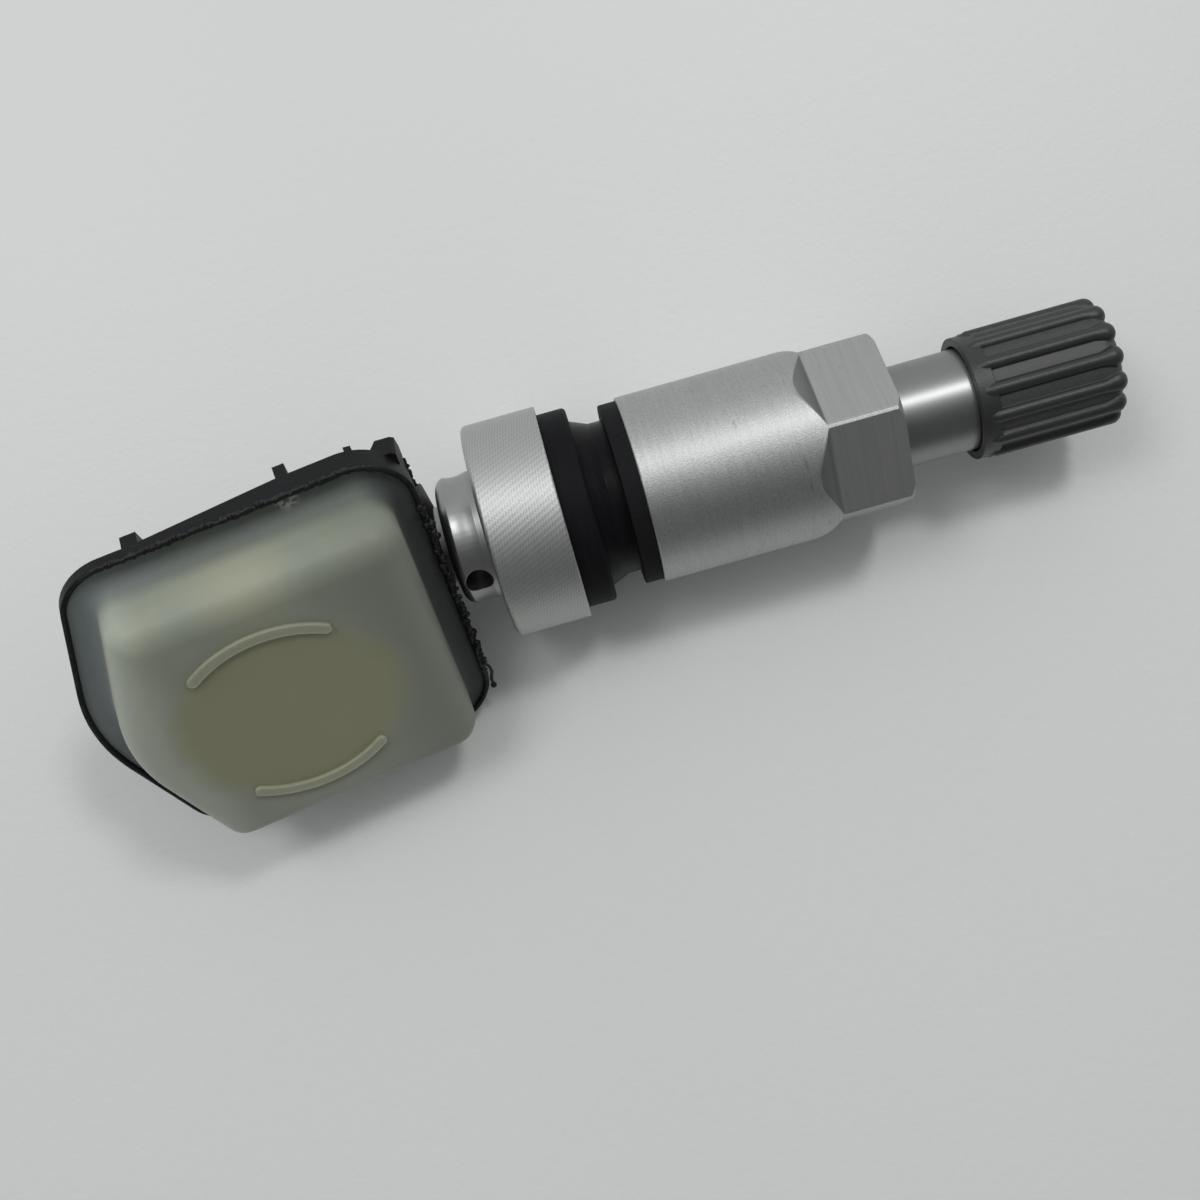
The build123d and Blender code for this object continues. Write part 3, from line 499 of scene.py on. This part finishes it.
def cover_plastic():
    """Milky plastic that scatters light: the cell's disc, a grey rim, pale ribs and one scuff."""
    disc_olive, rib_pale = (0.34, 0.34, 0.215), (0.38, 0.39, 0.29)
    rim_dark, rim_pale = (0.17, 0.188, 0.175), (0.235, 0.265, 0.265)
    valve_black, scuff_pale = (0.04, 0.047, 0.043), (0.62, 0.63, 0.6)
    s = Shader("cover_plastic")
    a, b, c = s.housing()
    cloud = s.noise(0.22, detail=2.0)
    grain = s.noise(3.5, detail=4.0)
    flange = s.step(c, FLANGE_TOP + 2.2, FLANGE_TOP)
    beside_valve = s.times(s.step(a, -4.2, -1.4), s.step(c, FLANGE_TOP + 2.4, FLANGE_TOP + 0.2))
    ribs = s.step(c, FORM_TOP + 0.06, FORM_TOP + 0.2)
    scuffed = s.times(s.step(s.away_from(SCUFF), 1.0, 0.3), s.step(s.noise(2.5), 0.42, 0.55))
    rim = s.mix(s.step(a, -14.0, -24.0), rim_dark, rim_pale)
    colour = s.mix(cover_disc(s, a, b, c, cloud), cover_milk(s, a, cloud), disc_olive)
    colour = s.mix(flange, colour, rim)
    colour = s.paint(colour, beside_valve, 0.85, valve_black)
    colour = s.mix(ribs, colour, rib_pale)
    colour = s.paint(colour, scuffed, 0.8, scuff_pale)
    rough = s.add(s.remap(grain, 0.42, 0.5), s.add(s.times(ribs, -0.08), s.times(flange, 0.2)))
    s.set(
        Base_Color=colour,
        Roughness=rough,
        Subsurface_Weight=0.6,
        Subsurface_Radius=(1.0, 1.0, 0.8),
        Subsurface_Scale=1.2 * MM,
        Specular_IOR_Level=0.4,
        Normal=s.bump(grain, 0.012),
    )
    return s.material


def plain(name, dark, pale, rough, metallic=0.0):
    """A grained finish for the inner pieces."""
    spread = 0.08
    s = Shader(name)
    grain = s.noise(3.0, detail=4.0)
    s.set(
        Base_Color=s.mix(grain, dark, pale),
        Metallic=metallic,
        Roughness=s.remap(grain, rough - spread, rough + spread),
        Normal=s.bump(grain, 0.01, s.rounded(0.05)),
    )
    return s.material


def bench_top():
    """A pale laminate with a faint speckle."""
    dark, pale = (0.8, 0.81, 0.8), (0.88, 0.89, 0.88)
    s = Shader("bench_top")
    speckle = s.noise(1.6, detail=4.0, roughness=0.7)
    cloud = s.noise(0.012, detail=2.0)
    tone = s.add(s.times(speckle, 0.3), s.times(cloud, 0.7))
    rough = s.remap(speckle, 0.4, 0.55)
    s.set(Base_Color=s.mix(tone, dark, pale), Roughness=rough, Normal=s.bump(speckle, 0.03))
    return s.material


def dress(material, *nodes):
    """Gives CAD nodes a material."""
    for name in nodes:
        slots = NODES[name].data.materials
        slots.clear()
        slots.append(material)


dress(stem_aluminium(), "valve_stem")
dress(nut_aluminium(), "sleeve_nut")
dress(grommet_rubber(), "rim_grommet")
dress(washer_plastic(), "nut_washer")
dress(cap_plastic(), "valve_cap")
dress(base_plastic(), "base_housing")
dress(cover_plastic(), "cover_housing")
dress(
    plain("seal_rubber", (0.012, 0.012, 0.013), (0.03, 0.03, 0.032), 0.6),
    "cap_seal", "core_seal", "cup_seal", "port_seal",
)
dress(
    plain("core_brass", (0.5, 0.36, 0.14), (0.68, 0.52, 0.24), 0.3, metallic=1.0),
    "core_plug", "core_barrel", "core_pin",
)
dress(
    plain("bright_steel", (0.42, 0.42, 0.42), (0.62, 0.62, 0.62), 0.28, metallic=1.0),
    "core_spring", "fixing_screw", "coin_cell", "cell_tab_upper", "cell_tab_lower", "quartz_crystal",
    "rf_antenna",
)
dress(plain("board_lacquer", (0.015, 0.09, 0.03), (0.03, 0.15, 0.05), 0.35), "circuit_board")
dress(plain("chip_resin", (0.01, 0.01, 0.01), (0.03, 0.03, 0.03), 0.5), "sensor_chip")
dress(plain("coil_copper", (0.35, 0.13, 0.05), (0.55, 0.24, 0.11), 0.35, metallic=1.0), "lf_coil")
dress(plain("capacitor_ceramic", (0.32, 0.24, 0.15), (0.45, 0.35, 0.24), 0.5), "chip_capacitors")


def link(name, data):
    """Makes an object and puts it in the scene."""
    thing = bpy.data.objects.new(name, data)
    bpy.context.scene.collection.objects.link(thing)
    return thing


def add_piece(name, data, body):
    """Makes a piece from a mesh in the part's frame, and sets it on its body."""
    piece = link(name, data)
    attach(piece, body)
    return piece


def skin(name):
    """A CAD node's surface, to find the nearest point on it."""
    mesh = NODES[name].data
    return BVHTree.FromPolygons([v.co for v in mesh.vertices], [p.vertices[:] for p in mesh.polygons])


BASE_SKIN = skin("base_housing")


def corner_arc(before, corner, after, radius):
    """Points round a filleted corner of a flat outline."""
    inward = (before - corner).normalized()
    outward = (after - corner).normalized()
    half = inward.angle(outward) / 2
    centre = corner + (inward + outward).normalized() * (radius / math.sin(half))
    start = corner + inward * (radius / math.tan(half)) - centre
    turn = start.angle_signed(corner + outward * (radius / math.tan(half)) - centre)
    points = []
    for i in range(CORNER_STEPS + 1):
        points.append(centre + Matrix.Rotation(-turn * i / CORNER_STEPS, 2) @ start)
    return points


def seam_outline(grow):
    """The cover flange's outline, grown by a distance, with its corners rounded."""
    angle = math.radians(NOSE_ANGLE)
    half = HALF_WIDTH + grow
    edge = grow - EDGE_SETBACK
    nose = -NOSE_REACH - grow / math.cos(angle)
    shoulder = nose + half * math.tan(angle)
    corners = [(edge, half), (shoulder, half), (nose, 0), (shoulder, -half), (edge, -half)]
    corners = [Vector(corner) for corner in corners]
    radii = [EDGE_CORNER, SHOULDER_CORNER, NOSE_CORNER, SHOULDER_CORNER, EDGE_CORNER]
    outline = []
    for i, corner in enumerate(corners):
        before, after = corners[i - 1], corners[(i + 1) % len(corners)]
        outline += corner_arc(before, corner, after, radii[i] + grow)
    return outline


def even_steps(points, step):
    """The same closed path with points about one step apart."""
    path = []
    for start, end in zip(points, points[1:] + points[:1]):
        length = (end - start).length
        count = max(1, round(length / step))
        path += [start.lerp(end, i / count) for i in range(count)]
    return path


def lump(point, turn):
    """Coarse and finer noise for a bead's surface, at a point of its path and an angle round it."""
    along, around, finer, finer_share = 2.1, 1.7, 2.7, 0.6
    seed = point * along + Vector((0, 0, 1)) * (around * math.sin(turn))
    return noise.noise(seed) + finer_share * noise.noise(seed * finer)


def join_rings(mesh, ring, after):
    """Adds the faces between two rings, and returns them."""
    count = len(ring)
    faces = []
    for j in range(count):
        k = (j + 1) % count
        faces.append(mesh.faces.new((ring[j], ring[k], after[k], after[j])))
    return faces


def bead(mesh, path, sizes, closed):
    """Adds a lumpy bead along a path in the housing's frame; each point has a radius and a roughness."""
    widening = 1.3
    rise = Vector((0, 0, 1))
    rings = []
    for i, point in enumerate(path):
        before = path[i - 1] if closed or i > 0 else point
        after = path[(i + 1) % len(path)] if closed or i + 1 < len(path) else point
        across = (after - before).cross(rise).normalized()
        radius, rough = sizes[i]
        ring = []
        for j in range(BEAD_SIDES):
            turn = 2 * math.pi * j / BEAD_SIDES
            reach = radius * (1 + rough * lump(point, turn))
            place = point + across * (widening * reach * math.cos(turn)) + rise * (reach * math.sin(turn))
            ring.append(mesh.verts.new(in_row(*place) * MM))
        rings.append(ring)
    following = rings[1:] + rings[:1] if closed else rings[1:]
    for ring, after in zip(rings, following):
        join_rings(mesh, ring, after)
    if not closed:
        mesh.faces.new(rings[0])
        mesh.faces.new(rings[-1])


def bead_size(point):
    """The seam bead's radius and roughness: it swells along the upper side and beside the valve."""
    upper = ramp(point.y, *UPPER_ACROSS) * ramp(point.x, *UPPER_ALONG)
    beside_valve = ramp(point.x, *VALVE_ALONG) * ramp(abs(point.y), *VALVE_ACROSS)
    radius = BEAD_RADIUS + UPPER_SWELL * upper + VALVE_SWELL * beside_valve
    rough = BEAD_ROUGH + SWELL_ROUGH * upper + SWELL_ROUGH * beside_valve
    return radius, rough


def settled(place, radius):
    """A place in the part's frame, drawn in so that a ball of that radius there sinks into the base."""
    surface, outward, _, _ = BASE_SKIN.find_nearest(place * MM)
    away = place - surface / MM
    if away.dot(outward) > 0 and away.length > CRUMB_RISE * radius:
        place = surface / MM + away.normalized() * (CRUMB_RISE * radius)
    return place


def crumb(mesh, place, radius, rough):
    """Adds a small rough ball at a place in the part's frame, with a surface of its own."""
    between_crumbs, within_crumb = 5.3, 1.4
    made = bmesh.ops.create_icosphere(mesh, subdivisions=2, radius=radius * MM)
    for vertex in made["verts"]:
        seed = place * between_crumbs + vertex.co.normalized() * within_crumb
        vertex.co = vertex.co * (1 + rough * noise.noise(seed)) + place * MM


def crumb_size(least, extra):
    """A random radius, mostly near the least."""
    return least + extra * noise.random() ** 2


def jitter(width):
    """A random shift within a band of that width."""
    return width * (noise.random() - 0.5)


def strew_beside_valve(mesh):
    """Crumbs along the edge beside the valve, in a row that bends outward at its lower end."""
    count, upper_end, length = 90, 9.2, 17.6
    middle, bend, width = -0.3, 0.37, 0.5
    sunk, height = 0.1, 0.25
    for i in range(count):
        share = (i + noise.random()) / count
        radius = crumb_size(least=0.1, extra=0.2)
        a = middle + bend * share**3 + jitter(width)
        b = upper_end - length * share
        c = LIP_TOP - sunk + height * noise.random()
        crumb(mesh, settled(in_row(a, b, c), radius), radius, rough=0.7)


def strew_upper_side(mesh):
    """Crumbs along the upper side's seam."""
    count, start, length = 90, -21.0, 17.0
    outside, width = 0.2, 0.25
    for i in range(count):
        a = start + length * (i + noise.random()) / count
        b = HALF_WIDTH + outside + jitter(width)
        radius = crumb_size(least=0.08, extra=0.14)
        crumb(mesh, settled(in_row(a, b, LIP_TOP), radius), radius, rough=0.6)


def strew_ear(mesh):
    """Crumbs on the bracket's upper ear."""
    count = 26
    for i in range(count):
        share = (i + noise.random()) / count
        spot = EAR_ROW[0].lerp(EAR_ROW[1], share)
        place = BRACKET + spot.x * Vector((1, 0, 0)) + spot.y * ACROSS + spot.z * OUT
        radius = crumb_size(least=0.07, extra=0.13)
        crumb(mesh, settled(place, radius), radius, rough=0.7)


def add_weld_flash():
    """The black plastic squeezed out along the seam, crumbly beside the valve and along the upper side."""
    mesh = bmesh.new()
    outline = even_steps(seam_outline(BEAD_OUTSIDE), BEAD_STEP)
    seam = [Vector((point.x, point.y, LIP_TOP - BEAD_SUNK)) for point in outline]
    bead(mesh, seam, [bead_size(point) for point in seam], closed=True)
    noise.seed_set(CRUMB_SEED)
    strew_beside_valve(mesh)
    strew_upper_side(mesh)
    strew_ear(mesh)
    string = [Vector(point) for point in STRING]
    bead(mesh, string, [STRING_SIZE] * len(string), closed=False)
    crumb(mesh, in_row(*STRING[-1]), *DROPLET_SIZE)
    bmesh.ops.recalc_face_normals(mesh, faces=mesh.faces)
    data = bpy.data.meshes.new("weld_flash")
    mesh.to_mesh(data)
    mesh.free()
    data.materials.append(flash_plastic())
    data.shade_smooth()
    add_piece("weld_flash", data, "valve")


def thread_groove(x, turn, pitch, depth, start, end):
    """How deep a thread's groove is at a place along it and a turn round it; it runs out at both ends."""
    crest = abs(2 * ((x / pitch - turn) % 1) - 1)
    groove = depth * ramp(crest, CREST_EDGE, ROOT_EDGE)
    return groove * ramp(x, start, start + pitch) * ramp(x, end, end - pitch)


def cut_thread(mesh, radius, pitch, depth, start, end):
    """Turns a plain cylinder on the valve axis into a right-handed thread."""
    def on_cylinder(face):
        return all(abs(math.hypot(v.co.y, v.co.z) / MM - radius) < CYLINDER_ROOM for v in face.verts)

    cylinder = [face for face in mesh.faces if on_cylinder(face)]
    corners = [v.co / MM for face in cylinder for v in face.verts]
    low, high = min(p.x for p in corners), max(p.x for p in corners)
    # Faces share their corners, so each turn round the axis is kept once, and exactly as it is found
    found = [math.atan2(p.z, p.y) / (2 * math.pi) % 1 for p in corners]
    turns = sorted({round(turn, TURN_DIGITS) % 1: turn for turn in found}.values())
    bmesh.ops.delete(mesh, geom=cylinder, context="FACES")
    count = round(RINGS_PER_PITCH * (end - start) / pitch)
    rings = []
    for x in [low] + [start + (end - start) * i / count for i in range(count + 1)] + [high]:
        ring = []
        for turn in turns:
            angle = 2 * math.pi * turn
            reach = radius - thread_groove(x, turn, pitch, depth, start, end)
            ring.append(mesh.verts.new(Vector((x, reach * math.cos(angle), reach * math.sin(angle))) * MM))
        rings.append(ring)
    for ring, after in zip(rings, rings[1:]):
        for face in join_rings(mesh, ring, after):
            face.smooth = True


def add_threaded_stem():
    """The stem with its two threads cut, in place of the plain one."""
    data = NODES["valve_stem"].data.copy()
    mesh = bmesh.new()
    mesh.from_mesh(data)
    cut_thread(mesh, *SHANK_THREAD)
    cut_thread(mesh, *TIP_THREAD)
    mesh.to_mesh(data)
    mesh.free()
    stem = add_piece("threaded_stem", data, "valve")
    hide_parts("valve_stem")


def add_pressed_spring():
    """A copy of the core's spring with a mesh of its own, set on the valve's body in place of the CAD
    spring.
    """
    spring = add_piece("pressed_spring", NODES["core_spring"].data.copy(), "valve")
    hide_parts("core_spring")
    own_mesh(spring)


def add_floor():
    """A wide flat floor under the part."""
    half, z = FLOOR_HALF * MM, FLOOR_Z * MM
    corners = [(-half, -half, z), (half, -half, z), (half, half, z), (-half, half, z)]
    data = bpy.data.meshes.new("floor")
    data.from_pydata(corners, [], [(0, 1, 2, 3)])
    data.materials.append(bench_top())
    floor = link("floor", data)


def add_lamp(name, place, size, power):
    """A square soft lamp that faces the part's origin."""
    data = bpy.data.lights.new(name, "AREA")
    data.shape = "SQUARE"
    data.size = size * MM
    data.energy = power
    lamp = link(name, data)
    lamp.location = Vector(place) * MM
    lamp.rotation_euler = (-Vector(place)).to_track_quat("-Z", "Y").to_euler()


def add_room():
    """A room that is bright beyond the valve and dark on the near side."""
    world = bpy.data.worlds.new("studio")
    world.use_nodes = True
    tree = world.node_tree
    background = tree.nodes["Background"]
    coordinates = tree.nodes.new("ShaderNodeTexCoord")
    split = tree.nodes.new("ShaderNodeSeparateXYZ")
    spread = tree.nodes.new("ShaderNodeMapRange")
    spread.inputs["From Min"].default_value = -ROOM_FADE
    spread.inputs["From Max"].default_value = ROOM_FADE
    spread.inputs["To Min"].default_value = ROOM_NEAR
    spread.inputs["To Max"].default_value = ROOM_FAR
    tree.links.new(coordinates.outputs["Generated"], split.inputs[0])
    tree.links.new(split.outputs["Y"], spread.inputs["Value"])
    tree.links.new(spread.outputs["Result"], background.inputs["Strength"])
    background.inputs["Color"].default_value = (*ROOM_TINT, 1.0)
    bpy.context.scene.world = world


def add_camera():
    """The camera at the photo's viewing angle."""
    data = bpy.data.cameras.new("camera")
    data.lens = CAMERA_LENS
    data.sensor_width = CAMERA_SENSOR
    data.clip_start = CAMERA_NEAR * MM
    data.clip_end = CAMERA_FAR * MM
    camera = link("camera", data)
    camera.location = Vector(CAMERA_PLACE) * MM
    camera.rotation_euler = (0, 0, math.radians(CAMERA_TURN))
    bpy.context.scene.camera = camera


add_weld_flash()
add_threaded_stem()
add_pressed_spring()
add_floor()
add_lamp("right", *RIGHT_LAMP)
add_lamp("left", *LEFT_LAMP)
add_room()
add_camera()
bpy.context.scene.view_settings.view_transform = "Standard"
